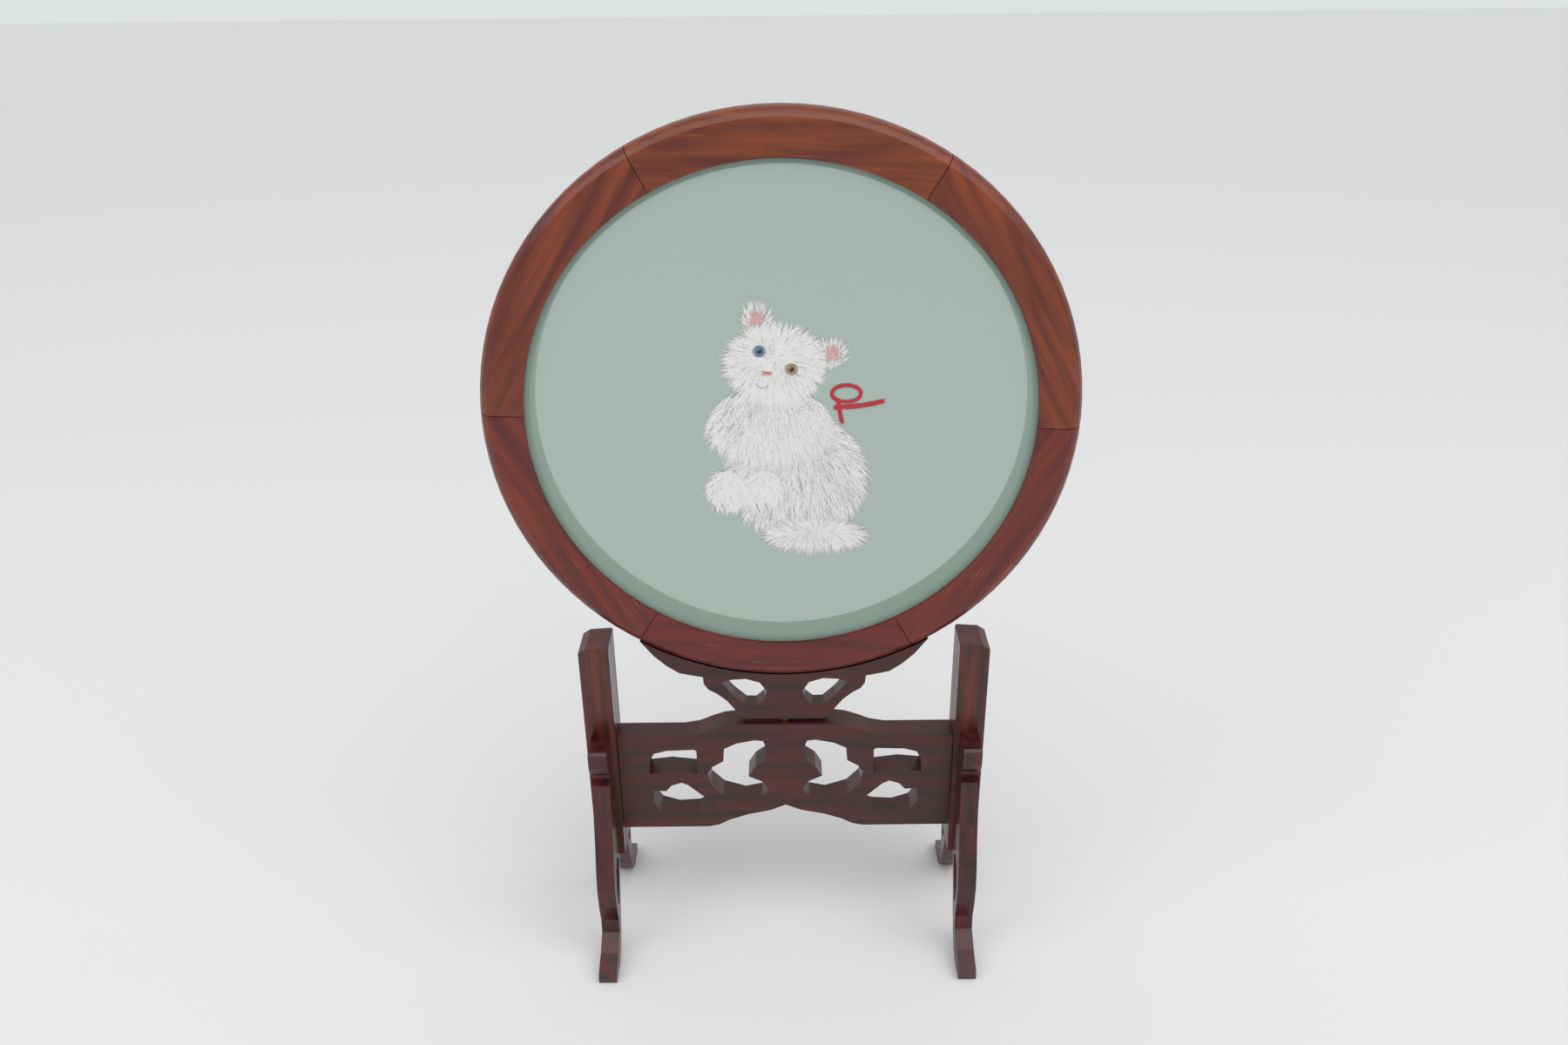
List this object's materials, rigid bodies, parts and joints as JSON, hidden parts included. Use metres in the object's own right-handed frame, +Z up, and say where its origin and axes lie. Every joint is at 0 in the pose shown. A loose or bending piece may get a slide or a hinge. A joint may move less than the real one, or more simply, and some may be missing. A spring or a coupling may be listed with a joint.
{
  "type": "double-sided silk screen",
  "caption": "Round table screen of embroidered silk in a hardwood ring, turning on a pin in a carved and pierced wooden stand.",
  "frame": {"origin": "centre of the object's box, on the surface that the feet stand on", "axes": "+Z up, the front face of the silk looks towards -Y, width along X"},
  "size_m": [0.21, 0.081, 0.3335],
  "materials": {
    "ring_wood": "satin",
    "stand_wood": "satin",
    "pale_wood": "matte",
    "silk": "satin",
    "brass": "satin"
  },
  "bodies": {
    "stand": {"crossbar": "stand_wood", "left_post": "stand_wood", "right_post": "stand_wood", "left_front_foot": "stand_wood", "left_back_foot": "stand_wood", "right_front_foot": "stand_wood", "right_back_foot": "stand_wood", "left_upper_dowel": "pale_wood", "left_lower_dowel": "pale_wood", "right_upper_dowel": "pale_wood", "right_lower_dowel": "pale_wood"},
    "screen": {"ring_segment_1": "ring_wood", "ring_segment_2": "ring_wood", "ring_segment_3": "ring_wood", "ring_segment_4": "ring_wood", "ring_segment_5": "ring_wood", "ring_segment_6": "ring_wood", "bead_pin_1": "brass", "bead_pin_2": "brass", "bead_pin_3": "brass", "bead_pin_4": "brass", "silk_panel": "silk", "stretcher_hoop": "stand_wood", "retaining_bead": "ring_wood", "cradle": "stand_wood", "cradle_dowel_left": "pale_wood", "cradle_dowel_right": "pale_wood", "pivot_pin": "brass"}
  },
  "joints": [
    {"name": "screen_turn", "type": "hinge", "parent": "stand", "child": "screen", "pos_m": [0, 0, 0.101], "axis": [0, 0, 1], "continuous": true}
  ]
}
